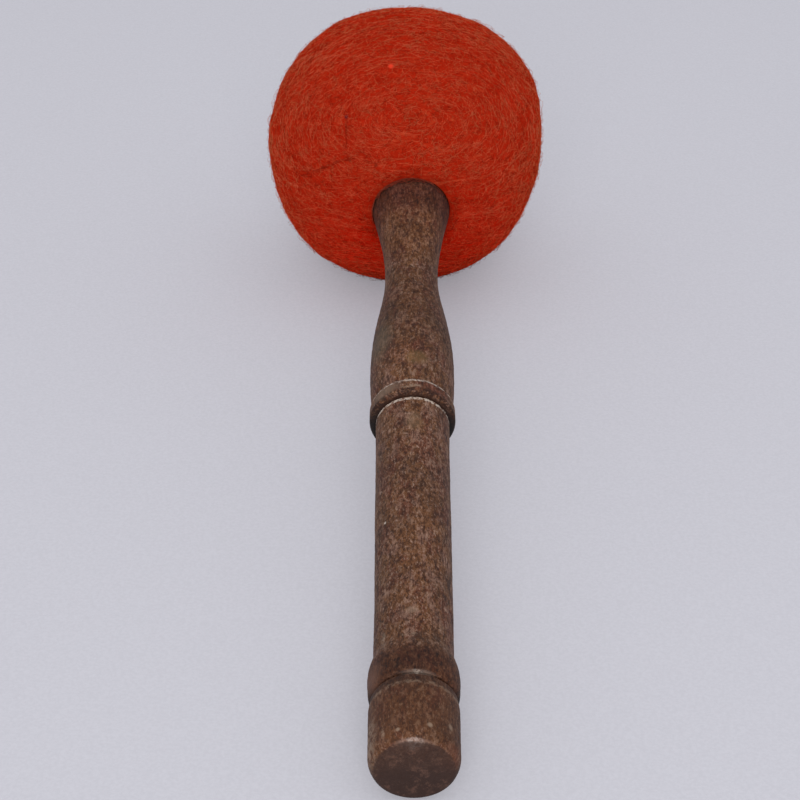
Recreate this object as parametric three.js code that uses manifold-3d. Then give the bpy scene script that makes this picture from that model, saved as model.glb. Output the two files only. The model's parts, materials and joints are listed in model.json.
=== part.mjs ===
// Singing bowl mallet: a turned hardwood handle that carries a ball-shaped head of orange wool.
// Inside the head a wooden core is wedged on the handle's tenon. A padding is tied round the neck
// over the core, plain wool is wound over the padding, and the dyed wool that shows lies outside.
// Millimetres. The mallet lies as it does on a table: the head's wool and the handle's end touch
// the floor, +Y runs from the handle's end to the head, +Z is up.
// A station is a distance along the mallet's axis from the flat face at the handle's end.

import * as THREE from "three";
import { mergeVertices } from "three/addons/utils/BufferGeometryUtils.js";
import Module from "manifold-3d";

const wasm = await Module();
wasm.setup();

// Handle: the knob at its end
const knobRadius = 10.45;
const knobLength = 19.8;
const knobRoundDepth = 1.95;
const knobRoundLength = 4;
const knobBevelDepth = 0.3;
const knobBevelLength = 2.4;
const knobGrooveDepth = 1.05;
const knobGrooveWidth = 1;

// Handle: the bead above the knob, and the grip
const endBeadRadius = 10.72;
const endBeadRise = 5.8;
const endBeadFall = 7.8;
const gripRadius = 9.4;
const gripTopRadius = 9.65;
const gripLength = 87.1;
const gripRimRound = 0.4;

// Handle: the bead above the grip, between a groove and a notch
const beadRadius = 11.3;
const beadLength = 5.5;
const beadRound = 1;
const beadGrooveDepth = 0.8;
const beadGrooveWidth = 0.4;
const notchDepth = 1;
const notchWidth = 0.4;

// Handle: the swell, the waist and the collar
const swellRadius = 11.38;
const swellRise = 14.8;
const swellFall = 45.6;
const waistRadius = 7.55;
const collarRadius = 11.45;
const collarFlare = 36;
const collarRound = 1.7;

// Handle: the neck and the tenon inside the head
const collarLip = 2.4;
const tenonShoulder = 2;
const tenonBevel = 0.8;
const kerfWidth = 2.6;
const kerfDepth = 16;
const wedgeTipWidth = 0.7;

// Head
const headRadius = 43.2;
const headHalfLength = 40.6;
const headSideways = 1.6;
const coverThickness = 8;
const windingThickness = 8;
const paddingThickness = 6;
const sleeveThickness = 2;
const sleeveLength = 3;
const tieThickness = 1.4;
const restDepth = 0.5;

// The gap between two pieces that touch, and how far a cutting tool runs past what it cuts
const seatGap = 0.3;
const cutOverrun = 5;

// How square an outline of revolution is, 2 being an ellipse
const headSquareness = 2.08;
const coreSquareness = 2.6;

// The hand-wound head isn't true. Low lumps and hollows lie round it on a ring that leans over
// the axis, each a share of the head's radius high.
const lumpHeightShares = [-0.023, 0.038, -0.038, 0.009, -0.023, 0.027, 0.005, 0.009];
const lumpRingTilt = THREE.MathUtils.degToRad(38);
const lumpSpread = 0.16;

// Facets round the axis, and points along the curves of an outline
const handleSides = 36;
const headSides = 40;
const liningSides = 28;
const curveSteps = 6;
const headSteps = 17;
const liningSteps = 8;
const tieSteps = 4;

// Sizes worked out from the ones above
const neckRadius = collarRadius - collarLip;
const tenonRadius = neckRadius - tenonShoulder;
const neckHole = neckRadius + seatGap;
const sleeveRadius = neckHole + sleeveThickness;
const tieRadius = sleeveRadius + seatGap + tieThickness / 2;
const pocketRadius = tieRadius + tieThickness / 2 + seatGap;

const gripStart = knobLength + knobGrooveWidth + endBeadRise + endBeadFall;
const gripEnd = gripStart + gripLength;
const beadStart = gripEnd + gripRimRound + beadGrooveWidth;
const swellStart = beadStart + beadLength + notchWidth;
const swellCrest = swellStart + swellRise;
const waistStation = swellCrest + swellFall;
const collarRim = waistStation + collarFlare;
const collarTop = collarRim + collarRound;

// The forms in the head, one in the other
const head = { radius: headRadius, halfLength: headHalfLength, squareness: headSquareness };
const coverHollow = inside(head, coverThickness);
const winding = inside(coverHollow, seatGap);
const windingHollow = inside(winding, windingThickness);
const padding = inside(windingHollow, seatGap);
const paddingHollow = { ...inside(padding, paddingThickness), squareness: coreSquareness };
const core = inside(paddingHollow, seatGap);

// The collar's rim just meets the skin of the wool, which sets where the head sits on the handle.
const headCentre = collarRim + skinDepth(collarRadius, head);
const sleeveEnd = headCentre - padding.halfLength - sleeveLength;

// The core has flat faces as wide as the neck, and its near one seats on the tenon's shoulder.
const coreFaceDepth = skinDepth(neckRadius, core);
const shoulderStation = headCentre - coreFaceDepth - seatGap;
const tenonEnd = headCentre + coreFaceDepth;

function inside(form, thickness) {
  return {
    radius: form.radius - thickness,
    halfLength: form.halfLength - thickness,
    squareness: form.squareness,
  };
}

// How far the skin of a form lies from its middle plane, at a radius
function skinDepth(radius, form) {
  const reach = (radius / form.radius) ** form.squareness;
  return form.halfLength * (1 - reach) ** (1 / form.squareness);
}

// The turn, from the far pole, at which the skin of a form has a radius on its near side
function nearTurn(radius, form) {
  return Math.PI - Math.asin((radius / form.radius) ** (form.squareness / 2));
}

// Adds the skin of a form from one turn to another. All forms share the turns in between, so the
// facets of two neighbours lie side by side.
function skin(path, form, fromTurn, toTurn, steps) {
  const shared = Array.from({ length: steps }, (_, step) => (Math.PI * step) / steps);
  const between = shared.filter((turn) => (turn - fromTurn) * (turn - toTurn) < 0);
  if (fromTurn > toTurn) {
    between.reverse();
  }
  [fromTurn, ...between, toTurn].forEach((turn) => {
    const across = Math.max(Math.sin(turn), 0) ** (2 / form.squareness);
    const along = Math.abs(Math.cos(turn)) ** (2 / form.squareness);
    const station = headCentre + form.halfLength * along * Math.sign(Math.cos(turn));
    path.lineTo(form.radius * across, station);
  });
}

// Adds a curve that leaves and arrives parallel to the axis. The shares set how long it stays so.
function ogee(path, radius, station, leaveShare, arriveShare) {
  const from = path.currentPoint;
  const run = station - from.y;
  const leave = from.y + run * leaveShare;
  const arrive = station - run * arriveShare;
  path.bezierCurveTo(from.x, leave, radius, arrive, radius, station);
}

// Adds a round towards a corner, and the share says how far it fills the corner.
function round(path, cornerRadius, cornerStation, radius, station, fullShare) {
  const from = path.currentPoint;
  path.bezierCurveTo(
    from.x + (cornerRadius - from.x) * fullShare,
    from.y + (cornerStation - from.y) * fullShare,
    radius + (cornerRadius - radius) * fullShare,
    station + (cornerStation - station) * fullShare,
    radius,
    station,
  );
}

// A round that starts square to the axis and ends along it
function roundOut(path, radius, station, fullShare) {
  round(path, radius, path.currentPoint.y, radius, station, fullShare);
}

// A round that starts along the axis and ends square to it
function roundIn(path, radius, station, fullShare) {
  round(path, path.currentPoint.x, station, radius, station, fullShare);
}

function spun(path, sides, steps) {
  return new THREE.LatheGeometry(path.getPoints(steps), sides);
}

function solidOf(geometry) {
  const plain = geometry.clone();
  plain.deleteAttribute("normal");
  plain.deleteAttribute("uv");
  const merged = mergeVertices(plain);
  return new wasm.Manifold(
    new wasm.Mesh({
      numProp: 3,
      vertProperties: merged.attributes.position.array,
      triVerts: new Uint32Array(merged.index.array),
    }),
  );
}

function geometryOf(solid) {
  const mesh = solid.getMesh();
  const geometry = new THREE.BufferGeometry();
  geometry.setAttribute("position", new THREE.BufferAttribute(mesh.vertProperties, mesh.numProp));
  geometry.setIndex(new THREE.BufferAttribute(mesh.triVerts, 1));
  geometry.computeVertexNormals();
  return geometry;
}

function piece(name, geometry, color, roughness) {
  const mesh = new THREE.Mesh(geometry, new THREE.MeshStandardMaterial({ color, roughness }));
  mesh.name = name;
  return mesh;
}

// The knob at the handle's end: a flat face, a rounded edge, a bevel and a groove above it
function addKnob(path) {
  path.moveTo(0, 0);
  path.lineTo(knobRadius - knobRoundDepth, 0);
  roundOut(path, knobRadius, knobRoundLength, 0.48);
  path.lineTo(knobRadius, knobLength - knobBevelLength);
  path.lineTo(knobRadius - knobBevelDepth, knobLength);
  path.lineTo(knobRadius - knobGrooveDepth, knobLength + knobGrooveWidth / 2);
  path.lineTo(knobRadius - knobGrooveDepth, knobLength + knobGrooveWidth);
}

// The bead above the knob, which falls to the grip, and the grip up to its rim
function addGrip(path) {
  roundOut(path, endBeadRadius, knobLength + knobGrooveWidth + endBeadRise, 0.8);
  ogee(path, gripRadius, gripStart, 0.5, 0.25);
  ogee(path, gripTopRadius, gripEnd, 0.6, 0.1);
  roundIn(path, gripTopRadius - gripRimRound / 2, gripEnd + gripRimRound, 0.55);
}

// The groove above the grip, and the flat-topped bead with its notch
function addBead(path) {
  const grooveRadius = gripTopRadius - beadGrooveDepth;
  path.lineTo(grooveRadius, beadStart - beadGrooveWidth / 2);
  path.lineTo(grooveRadius, beadStart);
  roundOut(path, beadRadius, beadStart + beadRound, 0.6);
  path.lineTo(beadRadius, beadStart + beadLength - beadRound);
  roundIn(path, beadRadius - notchDepth, beadStart + beadLength, 0.4);
  path.lineTo(beadRadius - notchDepth, swellStart);
}

// The swell of the handle, its waist, and the collar that flares to the wool
function addSwellAndCollar(path) {
  roundOut(path, swellRadius, swellCrest, 0.52);
  ogee(path, waistRadius, waistStation, 0.5, 0.35);
  ogee(path, collarRadius, collarRim, 0.43, 0.05);
  roundIn(path, (collarRadius + neckRadius) / 2, collarTop, 0.6);
}

// The neck, and the tenon that fills the core's bore
function addTenon(path) {
  path.lineTo(neckRadius, collarTop);
  path.lineTo(neckRadius, shoulderStation);
  path.lineTo(tenonRadius, shoulderStation);
  path.lineTo(tenonRadius, tenonEnd - tenonBevel);
  path.lineTo(tenonRadius - tenonBevel, tenonEnd);
  path.lineTo(0, tenonEnd);
}

// The handle is turned from one piece of wood, and its tenon is sawn for the wedge.
function handlePiece() {
  const path = new THREE.Path();
  addKnob(path);
  addGrip(path);
  addBead(path);
  addSwellAndCollar(path);
  addTenon(path);
  const cutLength = kerfDepth + cutOverrun;
  const saw = new THREE.BoxGeometry(kerfWidth, cutLength, 2 * tenonRadius + cutOverrun);
  saw.translate(0, tenonEnd - kerfDepth + cutLength / 2, 0);
  const sawn = solidOf(spun(path, handleSides, curveSteps)).subtract(solidOf(saw));
  return piece("handle", geometryOf(sawn), 0x6e533c, 0.75);
}

// The wedge fills the kerf, and is thin at its tip.
function wedgePiece() {
  const tip = tenonEnd - kerfDepth + seatGap;
  const buttWidth = kerfWidth - 2 * seatGap;
  const halfDepth = Math.sqrt(tenonRadius ** 2 - (kerfWidth / 2) ** 2) - tenonBevel;
  const side = new THREE.Shape();
  side.moveTo(-wedgeTipWidth / 2, tip);
  side.lineTo(wedgeTipWidth / 2, tip);
  side.lineTo(buttWidth / 2, tenonEnd);
  side.lineTo(-buttWidth / 2, tenonEnd);
  side.closePath();
  const wedge = new THREE.ExtrudeGeometry(side, { depth: 2 * halfDepth, bevelEnabled: false });
  wedge.translate(0, 0, -halfDepth);
  return piece("tenon_wedge", wedge, 0xb08a5a, 0.8);
}

// The turned core: a squarish ball with two flat faces, bored for the tenon
function corePiece() {
  const bore = tenonRadius + seatGap;
  const faceTurn = nearTurn(neckRadius, core);
  const path = new THREE.Path();
  path.moveTo(bore, headCentre - coreFaceDepth);
  skin(path, core, faceTurn, Math.PI - faceTurn, liningSteps);
  path.lineTo(bore, headCentre + coreFaceDepth);
  path.closePath();
  return piece("head_core", spun(path, liningSides, 1), 0xa8855c, 0.85);
}

// A hollow ball that is open at the neck. Its wall there is given as corners of radius and station.
function hollowBall(form, hollow, neckCorners) {
  const first = neckCorners[0];
  const last = neckCorners[neckCorners.length - 1];
  const path = new THREE.Path();
  path.moveTo(0, headCentre + hollow.halfLength);
  skin(path, hollow, 0, nearTurn(first.radius, hollow), liningSteps);
  neckCorners.forEach((corner) => path.lineTo(corner.radius, corner.station));
  skin(path, form, nearTurn(last.radius, form), 0, liningSteps);
  return spun(path, liningSides, 1);
}

// Felt batting round the core, drawn in to a short sleeve on the neck
function paddingPiece() {
  const geometry = hollowBall(padding, paddingHollow, [
    { radius: neckHole, station: sleeveEnd },
    { radius: sleeveRadius, station: sleeveEnd },
  ]);
  return piece("core_padding", geometry, 0xcfc4ae, 1);
}

// The thread that ties the sleeve to the neck
function tiePiece() {
  const half = tieThickness / 2;
  const band = new THREE.Path();
  band.absellipse(tieRadius, sleeveEnd + sleeveLength / 2, half, half, 0, 2 * Math.PI, false);
  return piece("padding_tie", spun(band, liningSides, tieSteps), 0xe0d8c8, 0.9);
}

// Plain wool wound over the padding, with a pocket at the neck for the tied sleeve
function windingPiece() {
  const geometry = hollowBall(winding, windingHollow, [
    { radius: pocketRadius, station: sleeveEnd - seatGap },
    { radius: neckHole, station: sleeveEnd - seatGap },
  ]);
  return piece("inner_winding", geometry, 0xd9cdb6, 1);
}

// The sum of the lumps and hollows in a direction from the head's centre
function lumpShare(direction) {
  const lump = new THREE.Vector3();
  return lumpHeightShares.reduce((share, height, index) => {
    const turn = (2 * Math.PI * index) / lumpHeightShares.length;
    const rise = Math.sin(turn);
    lump.set(Math.cos(turn), rise * Math.sin(lumpRingTilt), rise * Math.cos(lumpRingTilt));
    return share + height * Math.exp((direction.dot(lump) - 1) / lumpSpread);
  }, 0);
}

// The outside of the head, before it is hollowed and laid down
function headBall() {
  const path = new THREE.Path();
  path.moveTo(0, headCentre - head.halfLength);
  skin(path, head, Math.PI, 0, headSteps);
  const ball = spun(path, headSides, 1);
  const places = ball.attributes.position;
  const centre = new THREE.Vector3(0, headCentre, 0);
  const place = new THREE.Vector3();
  for (let index = 0; index < places.count; index += 1) {
    place.fromBufferAttribute(places, index).sub(centre);
    place.multiplyScalar(1 + lumpShare(place.clone().normalize())).add(centre);
    places.setXYZ(index, place.x - headSideways, place.y, place.z);
  }
  return ball;
}

// What is taken out of the ball: the hollow, the hole for the neck and the collar's seat
function coverPlug() {
  const seatRadius = collarRadius + seatGap;
  const seatStation = collarTop + seatGap;
  const outer = headCentre - head.halfLength - cutOverrun;
  const path = new THREE.Path();
  path.moveTo(0, outer);
  path.lineTo(seatRadius, outer);
  path.lineTo(seatRadius, seatStation);
  path.lineTo(neckHole, seatStation);
  skin(path, coverHollow, nearTurn(neckHole, coverHollow), 0, liningSteps);
  return spun(path, liningSides, 1);
}

// The points of a geometry that lie below the axis, as station and drop
function lowPoints(geometry) {
  const places = geometry.attributes.position;
  const points = [];
  for (let index = 0; index < places.count; index += 1) {
    if (places.getZ(index) < 0) {
      points.push(new THREE.Vector2(places.getY(index), -places.getZ(index)));
    }
  }
  return points;
}

// The floor that the knob touches and the head sinks a little into: its tilt, and where it touches
function floorUnder(knobPoints, headPoints) {
  const floor = { tilt: Infinity };
  knobPoints.forEach((knobPoint) => {
    let tilt = 0;
    headPoints.forEach((headPoint) => {
      const reach = headPoint.clone().sub(knobPoint);
      const sink = Math.asin(restDepth / reach.length());
      tilt = Math.max(tilt, Math.atan2(reach.y, reach.x) - sink);
    });
    if (tilt < floor.tilt) {
      floor.tilt = tilt;
      floor.touch = knobPoint;
    }
  });
  return floor;
}

// A block under that floor, beside the mallet's axis
function floorBlock(floor) {
  const side = 2 * tenonEnd;
  const block = new THREE.BoxGeometry(side, 2 * side, side);
  block.translate(0, 0, -side / 2);
  block.rotateX(-floor.tilt);
  block.translate(0, floor.touch.x, -floor.touch.y);
  return block;
}

// The dyed wool outside, with the small flat on which the head rests
function coverPiece(ball, floor) {
  const cover = solidOf(ball).subtract(solidOf(coverPlug())).subtract(solidOf(floorBlock(floor)));
  return piece("wool_cover", geometryOf(cover), 0xc03a18, 1);
}

const knobPath = new THREE.Path();
addKnob(knobPath);
const ball = headBall();
const floor = floorUnder(lowPoints(spun(knobPath, handleSides, curveSteps)), lowPoints(ball));

const mallet = new THREE.Group();
mallet.add(
  handlePiece(),
  wedgePiece(),
  corePiece(),
  paddingPiece(),
  tiePiece(),
  windingPiece(),
  coverPiece(ball, floor),
);
mallet.rotation.x = floor.tilt;

// The frame's origin is on the floor, under the middle of the mallet's box.
const extent = new THREE.Box3().setFromObject(mallet, true);
const middle = extent.getCenter(new THREE.Vector3());
mallet.position.set(-middle.x, -middle.y, -extent.min.z);

const part = new THREE.Group();
part.add(mallet);

export default part;
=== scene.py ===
"""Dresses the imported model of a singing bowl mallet: a turned handle, and a head of wound orange wool.

Shapes and shader places are worked out in mallet axes, in millimetres. Those axes are right, along
(towards the head) and up from the middle of the flat face at the handle's end, and a station is a
distance along the second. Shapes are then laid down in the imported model's own frame, in metres.
"""

from __future__ import annotations

import json
import logging
import math
from dataclasses import dataclass, field, replace
from enum import Enum
from typing import Callable, Optional, Sequence, Union

import bpy
import numpy as np
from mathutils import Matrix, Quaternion, Vector


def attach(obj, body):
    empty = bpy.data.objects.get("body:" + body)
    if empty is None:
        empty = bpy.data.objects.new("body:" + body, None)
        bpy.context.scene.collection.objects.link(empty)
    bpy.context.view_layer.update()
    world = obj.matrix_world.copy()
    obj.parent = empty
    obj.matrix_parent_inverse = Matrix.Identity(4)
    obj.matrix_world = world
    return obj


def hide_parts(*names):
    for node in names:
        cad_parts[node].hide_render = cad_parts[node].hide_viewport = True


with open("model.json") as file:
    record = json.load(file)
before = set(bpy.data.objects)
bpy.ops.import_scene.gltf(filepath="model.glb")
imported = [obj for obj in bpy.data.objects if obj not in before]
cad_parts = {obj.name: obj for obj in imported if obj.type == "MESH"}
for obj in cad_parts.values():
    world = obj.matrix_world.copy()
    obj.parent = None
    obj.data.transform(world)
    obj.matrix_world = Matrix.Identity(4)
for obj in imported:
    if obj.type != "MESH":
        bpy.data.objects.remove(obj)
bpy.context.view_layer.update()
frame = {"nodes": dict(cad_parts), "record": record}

MM = 0.001
FULL_TURN = 2 * math.pi
RIGHT = np.array((1.0, 0.0, 0.0))
SOFT_EDGE = math.radians(60)
MAP_MARGIN = 0.004
log = logging.getLogger("mallet")

Pair = tuple[float, float]
Triple = tuple[float, float, float]
Colour = tuple[float, float, float]
Number = Union[float, "Term"]
Operator = Callable[["Term", Number], "Term"]


def tint(red: int, green: int, blue: int) -> Colour:
    """Turns a screen colour of 0 to 255 a channel into linear light."""
    shares = (channel / 255 for channel in (red, green, blue))
    return tuple(share / 12.92 if share <= 0.04045 else ((share + 0.055) / 1.055) ** 2.4
                 for share in shares)


def unit(vectors: np.ndarray) -> np.ndarray:
    """Scales vectors along the last axis to length one."""
    return vectors / np.maximum(np.linalg.norm(vectors, axis=-1, keepdims=True), 1e-12)


def eased(values: np.ndarray, low: float, high: float) -> np.ndarray:
    """Eases from 0 at low to 1 at high."""
    share = np.clip((values - low) / (high - low), 0, 1)
    return share * share * (3 - 2 * share)


def turns_of(count: int) -> np.ndarray:
    """Gives even turns round a circle."""
    return np.arange(count) * (FULL_TURN / count)


def outward(turns: np.ndarray) -> np.ndarray:
    """Gives the unit vectors off the mallet's axis at turns round it."""
    return np.stack((np.cos(turns), 0 * turns, np.sin(turns)), axis=-1)


@dataclass(frozen=True)
class Lie:
    """How the mallet lies: the middle of its end face in metres, and the way its axis runs."""

    end: np.ndarray
    along: np.ndarray

    @classmethod
    def of_record(cls, record: dict) -> "Lie":
        """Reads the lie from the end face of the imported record."""
        face = next(mount for mount in record["mounts"] if mount["name"] == "end_face")
        return cls(np.array(face["pos_m"]), -unit(np.array(face["axis"], float)))

    @property
    def axes(self) -> np.ndarray:
        """Right, along and up as rows."""
        return np.array((RIGHT, self.along, np.cross(RIGHT, self.along)))

    def placed(self, points: np.ndarray) -> np.ndarray:
        """Lays places in mallet axes down in the row frame."""
        return self.end + points @ self.axes * MM


@dataclass(frozen=True)
class Waves:
    """A seeded sum of plane waves, which gives a smooth and repeatable unevenness."""

    seed: int
    shortest: float
    longest: float
    count: int = 28

    def __call__(self, points: np.ndarray) -> np.ndarray:
        """Works out the unevenness at some places.

        Args:
            points: Places along the last axis.

        Returns:
            Heights of about -1 to 1.
        """
        draw = np.random.default_rng(self.seed)
        ways = unit(draw.normal(size=(self.count, 3)))
        lengths = np.geomspace(self.shortest, self.longest, self.count)
        starts = draw.uniform(0, FULL_TURN, self.count)
        heights = np.zeros(points.shape[:-1])
        for way, length, start in zip(ways, lengths, starts):
            heights += np.sin(points @ way * (FULL_TURN / length) + start)
        return heights / math.sqrt(self.count)


@dataclass
class Outline:
    """A turned outline, as points of radius and station, drawn from one end to the other."""

    steps: int = 14
    points: list[Pair] = field(default_factory=list)

    def line(self, radius: float, station: float) -> None:
        """Adds a point."""
        self.points.append((radius, station))

    def curve(self, *handles: Sequence[float]) -> None:
        """Adds a cubic curve.

        Args:
            handles: Its two handles, and then its end.
        """
        start = self.points[-1]
        for share in np.linspace(0, 1, self.steps + 1)[1:]:
            rest = 1 - share
            weights = (rest ** 3, 3 * rest ** 2 * share, 3 * rest * share ** 2, share ** 3)
            self.points.append(tuple(np.dot(weights, (start, *handles))))

    def ogee(self, radius: float, station: float, leave_share: float, arrive_share: float) -> None:
        """Adds a curve that leaves and arrives along the axis.

        Args:
            radius: Radius at its end.
            station: Station at its end.
            leave_share: How long it leaves so, as a share of its run.
            arrive_share: How long it arrives so.
        """
        old_radius, old_station = self.points[-1]
        run = station - old_station
        self.curve((old_radius, old_station + run * leave_share),
                   (radius, station - run * arrive_share), (radius, station))

    def rounding(self, radius: float, station: float, full_share: float, inwards: bool = False) -> None:
        """Adds a round that starts square to the axis and ends along it.

        Args:
            radius: Radius at its end.
            station: Station at its end.
            full_share: How far it fills its corner.
            inwards: Whether it starts along the axis and ends square to it instead.
        """
        start, end = np.array(self.points[-1]), np.array((radius, station))
        corner = np.array((start[0], station) if inwards else (radius, start[1]))
        self.curve(start + (corner - start) * full_share, end + (corner - end) * full_share, end)

    def fine(self, longest: float) -> np.ndarray:
        """Fills the outline with points so that it has no long step.

        Args:
            longest: The longest step allowed.

        Returns:
            The points as rows of radius and station.
        """
        filled = [self.points[0]]
        for end in self.points[1:]:
            start = np.array(filled[-1])
            gap = np.array(end) - start
            parts = max(1, math.ceil(float(np.linalg.norm(gap)) / longest))
            filled += [tuple(start + gap * part / parts) for part in range(1, parts + 1)]
        return np.array(filled)


@dataclass
class Shape:
    """A closed mesh in the making, in mallet axes, with a map for baking."""

    points: np.ndarray
    faces: list[tuple[int, ...]]
    uv: np.ndarray

    @classmethod
    def of_rings(cls, rings: np.ndarray, first: np.ndarray, last: np.ndarray) -> "Shape":
        """Joins rings of points into one skin that closes on a point at each end.

        Args:
            rings: Places, as ring, point and axis.
            first: The point before the first ring.
            last: The point after the last ring.

        Returns:
            The shape.
        """
        ring_count, side_count = rings.shape[:2]
        points = np.concatenate((rings.reshape(-1, 3), [first], [last]))
        tip, top = ring_count * side_count, (ring_count - 1) * side_count
        faces: list[tuple[int, ...]] = []
        corners: list[Pair] = []
        for side in range(side_count):
            after = (side + 1) % side_count
            here, there = side / side_count, (side + 1) / side_count
            middle = (here + there) / 2
            faces += [(tip, side, after), (tip + 1, top + after, top + side)]
            corners += [(middle, 0), (here, 1), (there, 1),
                        (middle, ring_count + 1), (there, ring_count), (here, ring_count)]
            for ring in range(ring_count - 1):
                low, high = ring * side_count, (ring + 1) * side_count
                faces.append((low + side, high + side, high + after, low + after))
                corners += [(here, ring + 1), (here, ring + 2), (there, ring + 2), (there, ring + 1)]
        spread = np.array(corners, float) / (1, ring_count + 1)
        return cls(points, faces, MAP_MARGIN + (1 - 2 * MAP_MARGIN) * spread)

    @classmethod
    def turned(cls, outline: np.ndarray, sides: int) -> "Shape":
        """Turns an outline round the axis.

        Args:
            outline: Rows of radius and station, which start and end on the axis.
            sides: Facets round the axis.

        Returns:
            The shape.
        """
        axis = outline[:, 1, None] * (0, 1, 0)
        rings = outline[1:-1, 0, None, None] * outward(turns_of(sides)) + axis[1:-1, None]
        return cls.of_rings(rings, axis[0], axis[-1])

    def facing_out(self) -> "Shape":
        """Turns every face round if the mesh is inside out.

        Returns:
            The shape with its faces pointing out.
        """
        fans = np.array([(face[0], *pair) for face in self.faces for pair in zip(face[1:], face[2:])])
        first, second, third = (self.points[fans[:, corner]] for corner in range(3))
        if np.sum(first * np.cross(second, third)) >= 0:
            return self
        starts = np.cumsum([0] + [len(face) for face in self.faces])
        order = np.concatenate([np.arange(start, end)[::-1] for start, end in zip(starts, starts[1:])])
        return Shape(self.points, [face[::-1] for face in self.faces], self.uv[order])


def add_piece(name: str, shape: Shape, lie: Lie, material: bpy.types.Material,
              stands_for: Sequence[str] = (), sharp_angle: float = SOFT_EDGE) -> bpy.types.Object:
    """Makes a piece of the mallet, which rides on its one body.

    Args:
        name: The piece's name.
        shape: Its mesh in mallet axes.
        lie: How the mallet lies.
        material: Its finish.
        stands_for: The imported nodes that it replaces.
        sharp_angle: The least angle between two faces that shows as an edge.

    Returns:
        The new object.
    """
    shape = shape.facing_out()
    mesh = bpy.data.meshes.new(name)
    mesh.from_pydata(lie.placed(shape.points).tolist(), [], shape.faces)
    mesh.uv_layers.new(name="OFBake").uv.foreach_set("vector", shape.uv.astype(np.float32).ravel())
    mesh.shade_smooth()
    mesh.set_sharp_from_angle(angle=sharp_angle)
    mesh.materials.append(material)
    piece = bpy.data.objects.new(name, mesh)
    bpy.context.scene.collection.objects.link(piece)
    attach(piece, "root")
    if stands_for:
        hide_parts(*stands_for)
    log.info("%s: %d points, %d faces", name, len(mesh.vertices), len(mesh.polygons))
    return piece


def operators(operation: str) -> tuple[Operator, Operator]:
    """Makes an operator of shader sockets.

    Args:
        operation: The operation of its Math or Vector Math node.

    Returns:
        The operator's method, and its reflected form.
    """

    def forward(self: "Term", other: Number) -> "Term":
        """Adds the node with the socket first."""
        return self.sum(operation, self, other)

    def reflected(self: "Term", other: Number) -> "Term":
        """Adds the node with the socket second."""
        return self.sum(operation, other, self)

    return forward, reflected


class Term:
    """A shader socket that takes part in sums, each of which adds a node."""

    __add__, __radd__ = operators("ADD")
    __sub__, __rsub__ = operators("SUBTRACT")
    __mul__, __rmul__ = operators("MULTIPLY")
    __truediv__, __rtruediv__ = operators("DIVIDE")
    __pow__, __rpow__ = operators("POWER")

    def __init__(self, bench: "Bench", socket: bpy.types.NodeSocket) -> None:
        """Wraps a socket of a material."""
        self.bench = bench
        self.socket = socket

    @property
    def is_vector(self) -> bool:
        """Whether the socket holds a vector or a colour."""
        return self.socket.type in {"VECTOR", "RGBA"}

    def sum(self, operation: str, first: Number, second: Number) -> "Term":
        """Adds the Math or Vector Math node of a sum.

        Args:
            operation: The node's operation.
            first: Its first value.
            second: Its second value.

        Returns:
            The result.
        """
        vector = any(isinstance(value, Term) and value.is_vector for value in (first, second))
        kind = "ShaderNodeVectorMath" if vector else "ShaderNodeMath"
        if vector:
            first, second = (value if isinstance(value, (Term, tuple)) else (value,) * 3
                             for value in (first, second))
        return self.bench.node(kind, {"operation": operation}, {0: first, 1: second})


@dataclass(frozen=True)
class Specks:
    """A noise around 0.5, whose largest specks have a size in millimetres.

    Its detail is how many finer layers it has, and its roughness how strong those are.
    """

    size: float
    detail: float
    roughness: float
    shift: float = 0.0
    stretch: Triple = (1.0, 1.0, 1.0)


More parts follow.
